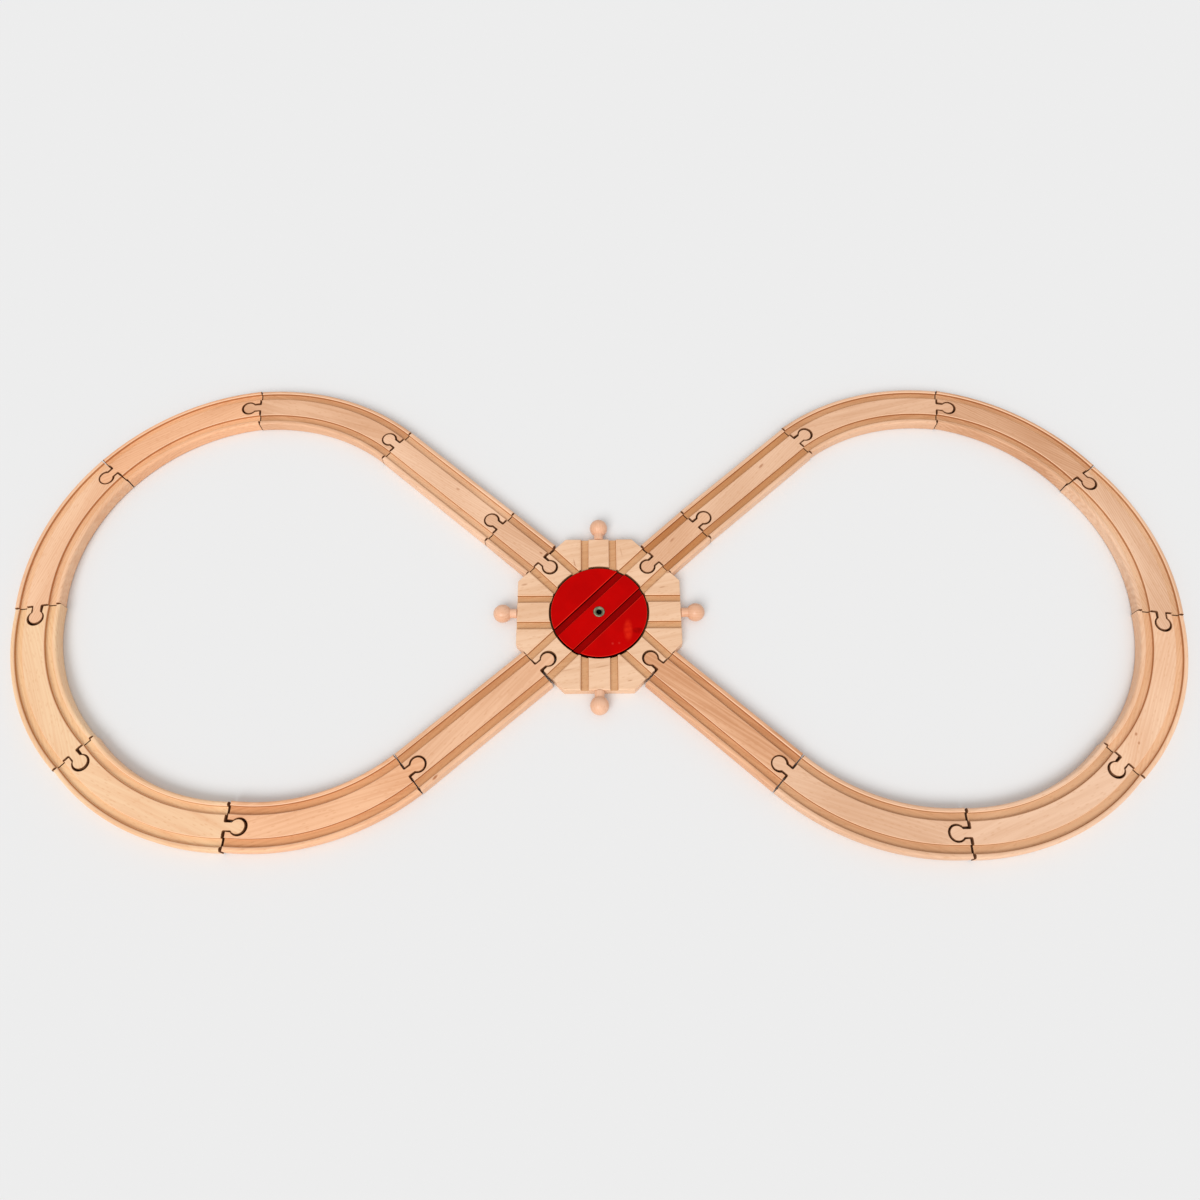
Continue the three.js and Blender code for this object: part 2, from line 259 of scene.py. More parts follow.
def carve(piece, cutters):
    """Cuts the cutters out of a piece. Cut faces keep the material index of their cutter."""
    for cutter in cutters:
        step = piece.modifiers.new("carve", "BOOLEAN")
        step.operation = "DIFFERENCE"
        step.solver = "MANIFOLD"
        step.object = cutter
    bpy.context.view_layer.update()
    depsgraph = bpy.context.evaluated_depsgraph_get()
    piece.data = bpy.data.meshes.new_from_object(piece.evaluated_get(depsgraph))
    piece.modifiers.clear()
    weld(piece.data)
    for cutter in cutters:
        bpy.data.objects.remove(cutter)


def weld(mesh):
    """Closes the slivers that cutting leaves."""
    bm = bmesh.new()
    bm.from_mesh(mesh)
    bmesh.ops.remove_doubles(bm, verts=bm.verts, dist=SLIVER)
    bmesh.ops.dissolve_degenerate(bm, edges=bm.edges, dist=SLIVER)
    bm.to_mesh(mesh)
    bm.free()


def tint(cutter, index):
    cutter.data.polygons.foreach_set("material_index", [index] * len(cutter.data.polygons))
    return cutter


def dress(piece, node, body):
    """Smooth shading with crisp edges, and the piece's place in the frame."""
    mesh = piece.data
    mesh.polygons.foreach_set("use_smooth", [True] * len(mesh.polygons))
    mesh.set_sharp_from_angle(angle=SHARP_ANGLE)
    shading = piece.modifiers.new("shading", "WEIGHTED_NORMAL")
    shading.keep_sharp = True
    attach(piece, body)
    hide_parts(node)


def groove_half(lip):
    """Half of a groove's section, from the middle of its floor out: distances across and above the floor."""
    half = GROOVE_WIDTH / 2
    floor = arc((half - FLOOR_EASE, FLOOR_EASE), FLOOR_EASE, -math.pi / 2, 0, EASE_STEPS)
    edge = arc((half + lip, GROOVE_DEPTH - lip + LIP_LIFT), lip, math.pi, math.pi / 2, EASE_STEPS)
    return [*floor, *edge, Vector((half + lip, GROOVE_DEPTH + OVERRUN))]


def grooves(stations, materials, index, faces=TOP_FACE):
    """Cutters for twin grooves along the stations, one pair for each floor height and way up."""
    rail = [(p.x, p.y) for p in groove_half(RAIL_LIP)]
    strip = [(-p.x, p.y) for p in reversed(groove_half(STRIP_LIP))]
    made = []
    for floor, up in faces:
        for hand in (-1, 1):
            section = [(hand * (GROOVE_OFFSET + x), floor + up * z) for x, z in rail + strip]
            made.append(tint(to_object("groove", sweep(stations, section), materials), index))
    return made


# Materials

class Shader:
    """A material's nodes, with short calls to add and join them."""

    def __init__(self, name):
        self.material = bpy.data.materials.new(name)
        self.material.use_nodes = True
        self.nodes = self.material.node_tree.nodes
        self.links = self.material.node_tree.links
        self.surface = self.nodes["Principled BSDF"]

    def feed(self, socket, value):
        if isinstance(value, bpy.types.NodeSocket):
            self.links.new(value, socket)
        else:
            socket.default_value = value

    def add(self, kind, inputs, output, **settings):
        node = self.nodes.new(kind)
        for key, value in settings.items():
            setattr(node, key, value)
        for key, value in inputs.items():
            self.feed(node.inputs[key], value)
        return node.outputs[output]

    def set(self, inputs):
        for key, value in inputs.items():
            self.feed(self.surface.inputs[key], value)

    def place(self):
        return self.add("ShaderNodeTexCoord", {}, "Object")

    def mapped(self, vector, shift=(0, 0, 0), turn=(0, 0, 0), scale=(1, 1, 1)):
        inputs = {"Vector": vector, "Location": shift, "Rotation": turn, "Scale": scale}
        return self.add("ShaderNodeMapping", inputs, "Vector")

    def noise(self, vector, scale, detail=2.0, roughness=0.5):
        inputs = {"Vector": vector, "Scale": scale, "Detail": detail, "Roughness": roughness}
        return self.add("ShaderNodeTexNoise", inputs, "Fac")

    def cells(self, vector, scale):
        return self.add("ShaderNodeTexVoronoi", {"Vector": vector, "Scale": scale}, "Distance")

    def bands(self, vector, scale, distortion, detail):
        inputs = {"Vector": vector, "Scale": scale, "Distortion": distortion, "Detail": detail}
        return self.add("ShaderNodeTexWave", inputs, "Fac", bands_direction="Y")

    def fit(self, value, low, high, to_low=0.0, to_high=1.0):
        inputs = {0: value, 1: low, 2: high, 3: to_low, 4: to_high}
        return self.add("ShaderNodeMapRange", inputs, 0, interpolation_type="SMOOTHSTEP")

    def combine(self, operation, a, b):
        return self.add("ShaderNodeMath", {0: a, 1: b}, 0, operation=operation)

    def distance(self, vector):
        return self.add("ShaderNodeVectorMath", {0: vector}, "Value", operation="LENGTH")

    def slope(self):
        """How level the surface is: 1 on a flat face and 0 on an upright wall."""
        normal = self.add("ShaderNodeNewGeometry", {}, "Normal")
        return self.add("ShaderNodeMath", {0: self.height(normal)}, 0, operation="ABSOLUTE")

    def height(self, vector):
        return self.add("ShaderNodeSeparateXYZ", {0: vector}, "Z")

    def lip(self):
        """The rounded edges at the top of a piece, which take a painted highlight: 1 on them and 0 elsewhere.
        """
        near_top = self.fit(self.height(self.place()), *LIP_HEIGHTS)
        return self.combine("MULTIPLY", near_top, self.fit(self.slope(), *LIP_SLOPES))

    def mix(self, factor, a, b):
        return self.add("ShaderNodeMix", {0: factor, 6: a, 7: b}, 2, data_type="RGBA")

    def bump(self, height, strength, depth):
        inputs = {"Height": height, "Strength": strength, "Distance": depth}
        return self.add("ShaderNodeBump", inputs, "Normal")


def colour(red, green, blue):
    """A colour as it looks on screen, from 0 to 255, in the linear values of a shader."""
    def linear(level):
        share = level / 255
        return share / 12.92 if share <= 0.04045 else ((share + 0.055) / 1.055) ** 2.4
    return (linear(red), linear(green), linear(blue), 1.0)


def shaded(tone, red, green, blue):
    """A tone with its channels scaled, kept under white."""
    return tuple(min(c * k, BRIGHTEST) for c, k in zip(tone, (red, green, blue))) + (1.0,)


def beech(name, tone, grain, seed, marks=(), figure=1.0, rough=FACE_ROUGH, wall_shade=0.0):
    """Sanded beech: fine rings, fibres and ray flecks. grain is the turn that brings the grain to X.
    A mark is a small dark place: where it is, how long and wide it is and how dark.
    figure is how strong the grain is, and wall_shade how far painted shade darkens the upright walls; where
    it is set, the lips at the top also get a painted highlight."""
    s = Shader(name)
    along = s.mapped(s.place(), turn=grain)
    heart = s.mapped(along, shift=[seed * c for c in SEED_SHIFT], turn=(SEED_TURN + seed, 0, 0))
    rings = s.bands(s.mapped(heart, scale=RING_STRETCH), scale=RING_SCALE, distortion=7, detail=2)
    fibre = s.noise(s.mapped(heart, scale=FIBRE_STRETCH), scale=FIBRE_SCALE, detail=3, roughness=0.6)
    patch = s.noise(s.mapped(heart, scale=PATCH_STRETCH), scale=PATCH_SCALE, detail=1)
    rays = s.cells(s.mapped(heart, scale=RAY_STRETCH), scale=RAY_SCALE)
    lines = s.combine("MULTIPLY", rings, RING_SHARE)
    shade = s.combine("ADD", lines, s.combine("MULTIPLY", fibre, FIBRE_SHARE))
    shade = s.combine("ADD", shade, s.fit(patch, *NOISE_RANGE, -PATCH_SHARE, PATCH_SHARE))
    early, late = (shaded(tone, *(1 + figure * c for c in shift)) for shift in (GRAIN_LIGHT, GRAIN_DARK))
    wood = s.mix(s.fit(shade, *GRAIN_RANGE), early, late)
    wood = s.mix(s.fit(rays, *RAY_EDGE, 0.0, RAY_DEPTH), wood, shaded(tone, *RAY_SHADE))
    for x, y, length, width, depth in marks:
        size = (1 / length, 1 / width, 0)
        spot = s.distance(s.mapped(along, shift=(-x / length, -y / width, 0), scale=size))
        wood = s.mix(s.fit(spot, *SPOT_EDGE, 0.0, depth), wood, shaded(tone, *MARK_SHADE))
    if wall_shade:
        # painted shade darkens the upright groove walls
        wood = s.mix(s.fit(s.slope(), *WALL_SHADE_SLOPES, 0.0, wall_shade), wood, shaded(tone, *WALL_SHADE_TONE))
        # painted highlight lightens the lips at the top
        wood = s.mix(s.combine("MULTIPLY", s.lip(), LIP_HIGHLIGHT), wood, shaded(BEECH, *LIP_HIGHLIGHT_TONE))
    sheen = s.fit(fibre, *NOISE_RANGE, *(rough + c for c in ROUGH_SPREAD))
    s.set({"Base Color": wood, "Roughness": sheen, "Specular IOR Level": 0.35,
           "Normal": s.bump(fibre, 0.15, 0.1 * MM)})
    return s.material


def in_grain(marks, angle):
    """Marks given in millimetres, with their places turned to the grain."""
    made = []
    for x, y, length, width, depth in marks:
        spot = Matrix.Rotation(angle, 2) @ Vector((x, y))
        made.append((spot.x * MM, spot.y * MM, length * MM, width * MM, depth))
    return made


def sawn_shaded(name, tone, seed):
    """End grain of the saw cuts, darker and rougher than the sanded faces, and darkened further as painted
    shade for the gaps between pieces.
    """
    s = Shader(name)
    grit = s.noise(s.mapped(s.place(), shift=(seed, seed, 0), scale=(1, 1, 0.2)), scale=GRIT_SCALE, detail=3)
    # the end grain is darkened as painted shade, so the gaps between pieces read dark
    wood = s.mix(s.fit(grit, *NOISE_RANGE), shaded(tone, *SAWN_SHADED_LIGHT), shaded(tone, *SAWN_SHADED_DARK))
    s.set({"Base Color": wood, "Roughness": SAWN_ROUGH, "Specular IOR Level": 0.1,
           "Normal": s.bump(grit, 0.2, 0.1 * MM)})
    return s.material


def beech_set(name, tone, depth, grain, seed, marks, figure):
    """Materials of a wooden piece, in the order of FACE, MILLED and SAWN.
    depth is how much painted shade darkens the groove faces."""
    # the groove faces are darkened by depth as painted shade
    shaded_milled = shaded(tone, *(full - share * depth for full, share in GROOVE_SHADE_LEVELS))
    return [
        beech(f"beech_{name}", tone, grain, seed, marks, figure),
        beech(f"milled_{name}", shaded_milled, grain, seed, marks, figure, MILLED_ROUGH, WALL_SHADE),
        sawn_shaded(f"sawn_{name}", tone, seed),
    ]


def lacquer(name, light, dark, wear=()):
    """Glossy paint, a little uneven, with a painted highlight along the lips of edges and painted shade on
    upright walls.
    A worn place is where it is, half its width and length, and its colour."""
    s = Shader(name)
    place = s.place()
    cloud = s.noise(place, scale=45, detail=3)
    ripple = s.noise(place, scale=260, detail=2)
    paint = s.mix(s.fit(cloud, *CLOUD_RANGE), light, dark)
    at_rest = s.mapped(place, turn=(0, 0, DISC_ANGLE))
    for x, y, width, length, tone in wear:
        size = (1 / (width * MM), 1 / (length * MM), 0)
        spot = s.distance(s.mapped(at_rest, shift=(-x / width, -y / length, 0), scale=size))
        worn = s.combine("MULTIPLY", s.fit(spot, *SPOT_EDGE), s.fit(ripple, *WEAR_BREAKS))
        paint = s.mix(worn, paint, tone)
    # painted shade on upright walls, then a painted highlight on the lips
    paint = s.mix(s.fit(s.slope(), *PAINT_SHADE_SLOPES), paint, PAINT_WALL_SHADE)
    paint = s.mix(s.lip(), paint, PAINT_LIP_HIGHLIGHT)
    sheen = s.fit(cloud, *NOISE_RANGE, *PAINT_ROUGH)
    s.set({"Base Color": paint, "Roughness": sheen, "Specular IOR Level": 0.03,
           "Normal": s.bump(ripple, 0.06, 0.2 * MM)})
    return s.material


def aged_brass():
    """Dull brass, tarnished green on its rim, with painted shade inside the bore."""
    s = Shader("aged_brass")
    place = s.place()
    tarnish = s.noise(place, scale=420, detail=4)
    rim = s.mix(s.fit(tarnish, *TARNISH_RANGE), *RIM_BRASS)
    reach = s.distance(s.mapped(place, scale=(1, 1, 0)))
    metal = s.mix(s.fit(reach, *RIM_EDGE), rim, ROLL_BRASS)
    # painted shade inside the bore
    metal = s.mix(s.fit(reach, *BORE_SHADE_EDGE), metal, BORE_SHADE_BRASS)
    sheen = s.fit(tarnish, *NOISE_RANGE, *BRASS_ROUGH)
    s.set({"Base Color": metal, "Metallic": 0.5, "Roughness": sheen,
           "Normal": s.bump(tarnish, 0.1, 0.05 * MM)})
    return s.material


def paper():
    """Matt backdrop paper with a faint tooth."""
    s = Shader("paper")
    tooth = s.noise(s.place(), scale=1500, detail=2)
    tones = [(FLOOR_SHADE * k, FLOOR_SHADE * k, FLOOR_SHADE * k, 1) for k in PAPER_TOOTH]
    s.set({"Base Color": s.mix(tooth, *tones), "Roughness": 0.9, "Specular IOR Level": 0.0})
    return s.material


# Boards

def pivot_point():
    low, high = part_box("turntable_disc")
    return Vector(((low.x + high.x) / 2, (low.y + high.y) / 2, 0))


def end_faces(walls):
    """The two end faces of a board, each as its middle and the direction along it."""
    pairs = [(a, b) for a in walls for b in walls if abs((a - b).length - TRACK_WIDTH) < WALL_TOLERANCE]
    faces = [((a + b) / 2, (b - a).normalized()) for a, b in pairs]
    return max(((f, g) for f in faces for g in faces), key=lambda two: (two[0][0] - two[1][0]).length)


def looks(face, other):
    """Direction that an end face looks, away from the other end."""
    way = Vector((face[1].y, -face[1].x))
    return way if way.dot(face[0] - other[0]) > 0 else -way


def has_peg(face, other, plan):
    tip = face[0] + looks(face, other) * (PEG_REACH + PEG_HEAD)
    return any((p - tip).length < PEG_TOLERANCE for p in plan)


class Board:
    """A track board as its solid lies: where it starts, which way it runs and how it turns."""

    def __init__(self, name):
        self.name = name
        points = {tuple(round(c / MM, 2) for c in v.co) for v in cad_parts[name].data.vertices}
        plan = [Vector(p[:2]) * MM for p in points]
        walls = [Vector(p[:2]) * MM for p in points if abs(p[2] * MM - WALL_TOP) < WALL_TOLERANCE]
        near, far = end_faces(walls)
        pegs = [has_peg(near, far, plan), has_peg(far, near, plan)]
        self.both_pegs = all(pegs)
        pivot = pivot_point().to_2d()
        outside_first = (near[0] - pivot).length > (far[0] - pivot).length
        backwards = outside_first if self.both_pegs else pegs[0]
        if backwards:
            near, far = far, near
        self.start, self.end = near[0], far[0]
        back = looks(near, far)
        self.heading = math.atan2(-back.y, -back.x)
        chord = self.end - self.start
        bend = math.cos(self.heading) * chord.y - math.sin(self.heading) * chord.x
        self.curved = abs(bend) > MM
        self.side = math.copysign(1, bend) if self.curved else 0
        self.length = chord.length
        self.radius = chord.length / (2 * math.sin(CURVE_ANGLE / 2))
        self.met = None

    def meet(self, before):
        """Takes the line of the end face that this board's start face lies against."""
        point = Matrix.Rotation(-self.heading, 2) @ (before.end - self.start)
        self.met = point, math.tan(before.heading + before.turn(1) - self.heading)

    def even(self, p):
        """A point near the start, moved along the board so that the gap to the board before is even."""
        if self.met is None:
            return p
        point, slope = self.met
        face = point.x - (p.y - point.y) * slope + WIDE_GAPS.get(self.name, FACE_GAP)
        return p + Vector((face * max(0, 1 - p.x / FACE_FADE), 0))

    def at(self, share, across):
        """A point at a share of the board's length and a distance to its left, in the board's own frame."""
        if not self.curved:
            return Vector((self.length * share, across))
        angle, radius = CURVE_ANGLE * share, self.radius - self.side * across
        return Vector((radius * math.sin(angle), self.side * (self.radius - radius * math.cos(angle))))

    def turn(self, share):
        return self.side * CURVE_ANGLE * share

    def shares(self):
        steps = CURVE_STEPS if self.curved else 1
        return [n / steps for n in range(steps + 1)]

    def outline(self):
        half = TRACK_WIDTH / 2
        peg = end_line(jigsaw(PEG_NECK, PEG_HEAD, PEG_REACH), half)
        if self.both_pegs:
            near = placed(peg, self.at(0, 0), math.pi)
        else:
            socket = end_line(jigsaw(SOCKET_MOUTH, SOCKET_HEAD, SOCKET_REACH), half)
            near = [self.even(p) for p in reversed(socket)]
        far = placed(peg, self.at(1, 0), self.turn(1))
        right = [near[-1]] + [self.at(t, -half) for t in self.shares()[1:-1]]
        left = [far[-1]] + [self.at(t, half) for t in reversed(self.shares()[1:-1])]
        # end faces take the end-grain material with its painted shade
        walls = {True: (LONG_EASE, FACE), False: (END_EASE, SAWN)}
        sides = ((right, True), (far[:-1], False), (left, True), (near[:-1], False))
        return [(p, *walls[long]) for points, long in sides for p in points]

    def groove_stations(self):
        past = OVERRUN / self.length
        shares = [-past, *self.shares(), 1 + past]
        lefts = [Matrix.Rotation(self.turn(t), 2) @ Vector((0, 1)) for t in shares]
        return [(self.at(t, 0), left) for t, left in zip(shares, lefts)]

    def build(self, seed):
        lean = self.turn(0.5) if self.curved else GRAIN_SKEW
        marks = in_grain(MARKS.get(self.name, ()), -lean)
        light, warm, depth, figure = BOARD_TONES[self.name]
        # the board's tone holds some painted light as well as its own colour
        tone = shaded(BEECH, light * warm, light, light / warm)
        materials = beech_set(self.name, tone, depth, (0, 0, -self.heading - lean), seed, marks, figure)
        piece = to_object(f"{self.name}_board", slab(self.outline(), 0, THICKNESS), materials)
        carve(piece, grooves(self.groove_stations(), materials, MILLED, BOTH_FACES))
        piece.data.transform(Matrix.Rotation(self.heading, 4, "Z"))
        piece.location = self.start.to_3d()
        dress(piece, self.name, self.name)


def build_boards():
    names = sorted(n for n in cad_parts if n.startswith(("left_", "right_")))
    boards = [Board(name) for name in names]
    for number, board in enumerate(boards):
        if not board.both_pegs:
            others = [b for b in boards if b is not board]
            board.meet(min(others, key=lambda b: (b.end - board.start).length))
        board.build(number * SEED_STEP)


# Turntable

def crossing(angle, reach):
    """Stations of a straight line through the middle."""
    way = Vector((math.cos(angle), math.sin(angle)))
    left = Vector((-way.y, way.x))
    return [(-way * reach, left), (way * reach, left)]


def bore(radius, low, high):
    """Profile of a plain round cutter."""
    return [(0, low), (radius, low), (radius, high), (0, high)]


def port(n, centre):
    """Frame of a port, with its Z looking out of the middle of the side."""
    turn = Matrix.Rotation(2 * math.pi * n / PORTS, 4, "Z")
    out = Matrix.Translation((PORT_DISTANCE, 0, 0)) @ Matrix.Rotation(math.pi / 2, 4, "Y")
    return Matrix.Translation(centre) @ turn @ out


def base_outline():
    half = PORT_DISTANCE * math.tan(math.pi / PORTS)
    socket = end_line(jigsaw(SOCKET_MOUTH, SOCKET_HEAD, SOCKET_REACH), half)[:0:-1]
    made = []
    for n in range(PORTS):
        angle = 2 * math.pi * n / PORTS
        middle = Vector((math.cos(angle), math.sin(angle))) * PORT_DISTANCE
        if n % 2:
            line = placed(socket, middle, angle + math.pi)
            made += [(p, END_EASE, FACE if p in (line[0], line[-1]) else SAWN) for p in line]
        else:
            made += [(p, BASE_EASE, FACE) for p in placed([Vector((0, -half))], middle, angle)]
    return made


def base_cutters(materials):
    above, below = THICKNESS + OVERRUN, -OVERRUN
    lip = (POCKET_RADIUS + END_EASE, THICKNESS - END_EASE + LIP_LIFT)
    rim = [tuple(p) for p in arc(lip, END_EASE, math.pi, math.pi / 2, EASE_STEPS)]
    pocket = [(0, POCKET_FLOOR), (POCKET_RADIUS, POCKET_FLOOR), *rim, (lip[0], above), (0, above)]
    # the pocket takes the end-grain material, whose painted shade darkens the ring round the disc
    cutters = [tint(to_object("pocket", turned(pocket), materials), SAWN)]
    for profile in (bore(PIVOT_HOLE, below, POCKET_FLOOR + OVERRUN), bore(WASHER_RECESS, below, WASHER_SEAT)):
        cutters.append(to_object("bore", turned(profile), materials))
    for n in range(PORTS // 2):
        cutters += grooves(crossing(2 * math.pi * n / PORTS, PORT_DISTANCE + OVERRUN), materials, MILLED)
    for n in range(0, PORTS, 2):
        hole = to_object("hole", turned(bore(TENON_HOLE, -TENON_DEPTH, OVERRUN)), materials)
        hole.matrix_world = port(n, Vector((0, 0, BALL_HEIGHT)))
        cutters.append(hole)
    return cutters


def build_base(pivot):
    marks = in_grain(BASE_MARKS, BASE_GRAIN)
    tone = shaded(BEECH, *BASE_TONE)
    materials = beech_set("base", tone, BASE_GROOVE_SHADE, (0, 0, BASE_GRAIN), BASE_SEED, marks, BASE_FIGURE)
    base = to_object("turntable_base_block", slab(base_outline(), 0, THICKNESS), materials)
    carve(base, base_cutters(materials))
    base.location = pivot
    dress(base, "turntable_base", "turntable")


def build_disc(pivot):
    red = [
        lacquer("red_lacquer", *FACE_REDS, DISC_WEAR),
        # the groove faces take darker reds as painted shade
        lacquer("red_lacquer_grooves_shaded", *SHADED_GROOVE_REDS),
    ]
    plan = arc((0, 0), DISC_RADIUS, 0, 2 * math.pi, ROUND_STEPS)[:-1]
    outline = [(p, DISC_EASE, FACE) for p in plan]
    disc = to_object("turntable_disc_plate", slab(outline, DISC_BOTTOM, THICKNESS), red)
    hole = bore(PIVOT_HOLE, 0, RIVET_SEAT)[:3] + bore(RIVET_RECESS, RIVET_SEAT, THICKNESS + OVERRUN)[1:]
    carve(disc, grooves(crossing(0, PORT_DISTANCE), red, MILLED) + [to_object("bore", turned(hole), red)])
    disc.matrix_world = Matrix.Translation(pivot) @ Matrix.Rotation(DISC_ANGLE, 4, "Z")
    dress(disc, "turntable_disc", "disc")


# Sections of the turned pieces in millimetres, as radius and height. The rivet is rolled over at its rim.
RIVET_SECTION = [
    (2.2, 0.3), (4.8, 0.3), (4.8, 1), (3.4, 1), (3.4, 11.1), (5.2, 11.1), (5.2, 11.35), (5.1, 11.7),
    (4.85, 11.92), (4.5, 12), (4.2, 12), (3.95, 11.9), (3.6, 11.6), (2.45, 10.9), (2.2, 10.3),
]
WASHER_SECTION = [(3.7, 1.3), (7.1, 1.3), (7.1, 2.3), (3.7, 2.3)]
BALL_SHAFT = [(0, -14), (1.6, -14), (1.9, -13.7), (1.9, 0.3), (4.2, 0.3), (4.4, 0.5), (4.4, 2.4), (4.25, 4.4)]
BALL_NECK = 4.4
BALL_RADIUS = 8.4
BALL_CENTRE = 13.455
BALL_STEPS = 24
BALL_ROUND_STEPS = 64


def ball_section():
    """A tenon, a shoulder, a hollow neck and a ball, from the blind end out."""
    meet = math.asin(BALL_NECK / BALL_RADIUS)
    ball = arc((0, BALL_CENTRE), BALL_RADIUS, meet - math.pi / 2, math.pi / 2, BALL_STEPS)
    return BALL_SHAFT + [(max(p.x, 0), p.y) for p in ball]


def scaled(section):
    return [(r * MM, z * MM) for r, z in section]


def build_fittings(pivot):
    brass = aged_brass()
    for name, section in (("pivot_rivet", RIVET_SECTION), ("pivot_washer", WASHER_SECTION)):
        ring = to_object(f"{name}_ring", turned(scaled(section)), [brass])
        ring.location = pivot
        dress(ring, name, "turntable")
    for n, name in enumerate(("east", "north", "west", "south")):
        tone = shaded(BEECH, *BALL_TONE)
        wood = beech(f"beech_peg_{name}", tone, (0, math.pi / 2, 0), BALL_SEED + n, rough=BALL_ROUGH)
        turning = turned(scaled(ball_section()), BALL_ROUND_STEPS)
        peg = to_object(f"connector_peg_{name}_turning", turning, [wood])
        peg.matrix_world = port(2 * n, pivot + Vector((0, 0, BALL_HEIGHT)))
        dress(peg, f"connector_peg_{name}", "turntable")


# Ranges of a texture: where most of a noise lies, and the share of its size over which a spot fades
NOISE_RANGE = (0.3, 0.7)
SPOT_EDGE = (1.0, 0.3)
BRIGHTEST = 0.95

# Grain of the beech: how each layer is drawn out along X, how fine it is and how much it counts
RING_STRETCH = (0.07, 1, 1)
RING_SCALE = 150
RING_SHARE = 0.24
FIBRE_STRETCH = (0.03, 1, 1)
FIBRE_SCALE = 750
FIBRE_SHARE = 0.7
PATCH_STRETCH = (0.3, 1, 1)
PATCH_SCALE = 30
PATCH_SHARE = 0.2
RAY_STRETCH = (0.3, 1, 1)
RAY_SCALE = 450
RAY_EDGE = (0.34, 0.1)
RAY_DEPTH = 0.4
GRAIN_RANGE = (0.05, 0.95)
GRIT_SCALE = 900
ROUGH_SPREAD = (-0.06, 0.08)

# Each piece is cut from another place in the tree, which its seed gives
GRAIN_SKEW = math.radians(7)
SEED_STEP = 0.7
SEED_SHIFT = (0.37, 0.11, 0.05)
SEED_TURN = 0.35

# Shades of a beech tone by channel: added for light and dark grain, scaled for the rest.
# The groove faces have a full level and the share of their depth that comes off it as painted shade.
GRAIN_LIGHT = (0.05, 0.09, 0.13)
GRAIN_DARK = (-0.085, -0.125, -0.165)
RAY_SHADE = (0.8, 0.68, 0.56)
MARK_SHADE = (0.5, 0.3, 0.18)
GROOVE_SHADE_LEVELS = ((1, 0.6), (1, 1), (0.92, 1.3))
# Painted shade for the upright groove walls
WALL_SHADE_TONE = (0.55, 0.365, 0.2)
# Painted highlight for the lips
LIP_HIGHLIGHT_TONE = (1.12, 1.2, 1.26)
# End grain: darker than the faces, and darker still as painted shade in the gaps between pieces
SAWN_SHADED_LIGHT = (0.34, 0.25, 0.18)
SAWN_SHADED_DARK = (0.2, 0.13, 0.09)
# How strong the painted shade on the walls is and over which slopes it comes in; how strong the painted
# highlight on the lips is
WALL_SHADE = 0.8
WALL_SHADE_SLOPES = (0.9, 0.3)
LIP_HIGHLIGHT = 0.9

# The base and the ball pegs
BASE_TONE = (1.02, 1.07, 1.08)
# painted shade in the base's grooves
BASE_GROOVE_SHADE = 0.3
BASE_GRAIN = math.radians(-12)
BASE_FIGURE = 1.1
BASE_SEED = 4.1
BALL_TONE = (0.98, 0.93, 0.95)
BALL_SEED = 2.3
BALL_ROUGH = 0.3

# Tones of the wood: a beech, and for each board how light and warm it is (partly its own tone and partly
# painted light), how much painted shade darkens its grooves and how strong its grain is
BEECH = colour(236, 188, 152)[:3]
BOARD_TONES = {
    "left_adapter": (0.945, 1.015, 0.25, 1.7), "left_bottom_straight": (0.956, 1.051, 0.35, 1.2),
    "left_curve_1": (0.887, 1.058, 0.22, 1.6), "left_curve_2": (0.87, 1.165, 0, 1.6),
    "left_curve_3": (1.053, 1.037, 0, 1.4), "left_curve_4": (1.184, 1.064, 0.03, 1.1),
    "left_curve_5": (1.127, 1.074, 0, 1.3), "left_curve_6": (0.948, 1.126, 0.26, 1.5),
    "left_top_straight": (1.036, 0.986, 0.09, 1.35), "right_adapter": (0.915, 1.036, 0.5, 1.25),
    "right_bottom_straight": (0.785, 1.165, 0.22, 2.3), "right_curve_1": (0.906, 1.025, 0.28, 1.5),
    "right_curve_2": (0.74, 1.119, 0.07, 2.1), "right_curve_3": (0.967, 0.992, 0, 1.9),
    "right_curve_4": (1.112, 0.987, 0.12, 1.3), "right_curve_5": (1.061, 0.957, 0.23, 1.1),
    "right_curve_6": (0.945, 1, 0.23, 1.1), "right_top_straight": (0.984, 0.982, 0.45, 1.1),
}

# Small knots and flecks in millimetres: place along and across, length, width and depth of colour
MARKS = {
    "left_top_straight": [(59.8, -3.6, 3, 1.4, 0.5)],
    "right_top_straight": [(94.1, 3.7, 5, 1.6, 0.7)],
    "left_bottom_straight": [(14.8, -18.7, 4, 1.5, 0.9)],
    "right_curve_4": [(115.8, -44.3, 2.2, 1.4, 0.8), (123.6, -43.3, 2, 1.3, 0.7)],
    "left_adapter": [(4.5, -5.3, 2.5, 1.2, 0.7)],
    "right_adapter": [(25.1, 3.9, 4, 1.2, 0.6)],
}
BASE_MARKS = [
    (-22.4, 48.2, 0.9, 8, 0.6), (21.3, 61, 0.9, 7, 0.3), (-55.3, 36.6, 3, 1, 0.6), (-69, 27.7, 4, 1.4, 0.5),
    (54.7, 32.2, 2.5, 1.2, 0.6), (64.4, 39.3, 4, 1.2, 0.6), (58.7, 24.2, 4, 1, 0.5),
    (2.5, -53.3, 9, 0.9, 0.4), (27, -66.6, 3, 1, 0.5), (-30, -56.8, 12, 0.9, 0.3),
]

# Worn places on the disc in millimetres from the pivot: half width, half length and colour
DISC_WEAR = [
    (26.2, -18.5, 5.2, 12.5, colour(224, 38, 16)), (35.2, -18.9, 7, 4, colour(150, 0, 0)),
    (12, -31.4, 1.4, 1.4, colour(210, 50, 42)), (18, -31.1, 1.4, 1.4, colour(210, 50, 42)),
]

